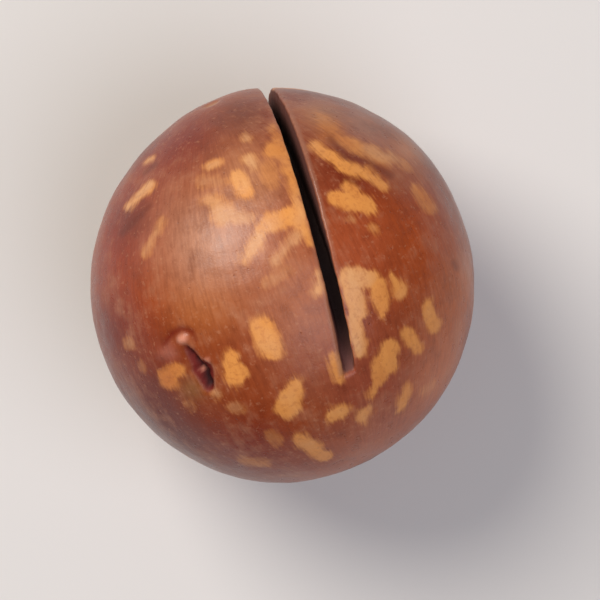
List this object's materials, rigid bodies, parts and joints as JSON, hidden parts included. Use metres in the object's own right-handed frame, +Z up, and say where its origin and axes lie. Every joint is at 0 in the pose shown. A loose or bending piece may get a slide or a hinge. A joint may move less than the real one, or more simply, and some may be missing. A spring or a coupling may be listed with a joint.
{
  "type": "macadamia nut in shell",
  "caption": "Near-round macadamia nut in its hard brown speckled shell, sawn with one narrow slit so that a key can lever it open.",
  "frame": {"origin": "middle of the small flat spot that the nut rests on, under the middle of the nut", "axes": "+Z up out of the flat spot, -Y towards the side with the hilum (the scar where the nut hung in its husk), +Y towards the side where the sawn slit runs over the back; the slit crosses the top at a small angle to the YZ plane"},
  "size_m": [0.0264, 0.0272, 0.0262],
  "materials": {
    "shell": "smooth woody nut shell, reddish brown with tan flecks, satin sheen, dark and matt inside the sawn slit"
  },
  "bodies": {
    "root": {"nut_in_shell": "shell"}
  },
  "joints": []
}
